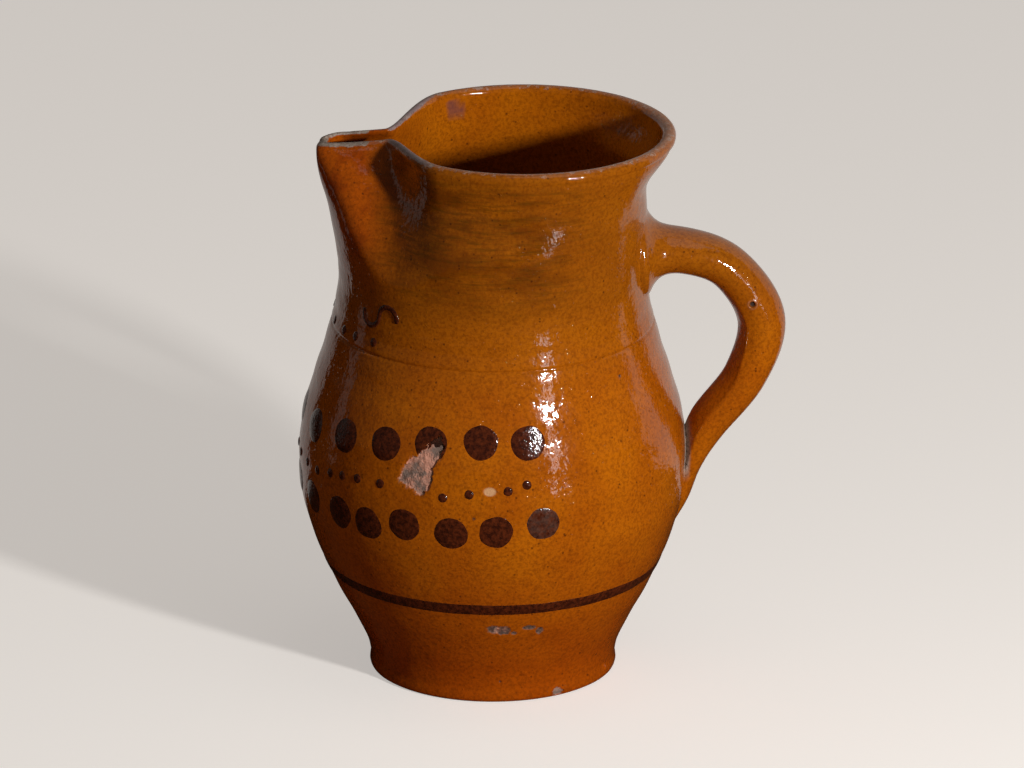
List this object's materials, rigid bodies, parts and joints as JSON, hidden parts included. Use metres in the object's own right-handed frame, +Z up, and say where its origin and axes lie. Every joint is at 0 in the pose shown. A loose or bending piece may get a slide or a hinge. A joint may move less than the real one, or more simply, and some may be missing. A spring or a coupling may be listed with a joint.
{
  "type": "glazed earthenware jug",
  "caption": "Round-bellied glazed pottery jug with a pinched pouring spout, a strap handle and raised dark dots and a band on an amber glaze",
  "frame": {"origin": "centre of the flat foot, on the surface that the jug stands on", "axes": "+Z up through the middle of the round body; the spout points to -X and the handle to +X, so that the picture looks along +Y"},
  "size_m": [0.2075, 0.1664, 0.24],
  "materials": {
    "glazed_clay": "glossy amber lead glaze over red earthenware",
    "dark_slip": "raised dark brown slip under a glossy clear glaze"
  },
  "bodies": {
    "root": {"jug": "glazed_clay", "slip_large_dots": "dark_slip", "slip_small_dots": "dark_slip", "slip_band": "dark_slip", "slip_scroll": "dark_slip"}
  },
  "joints": []
}
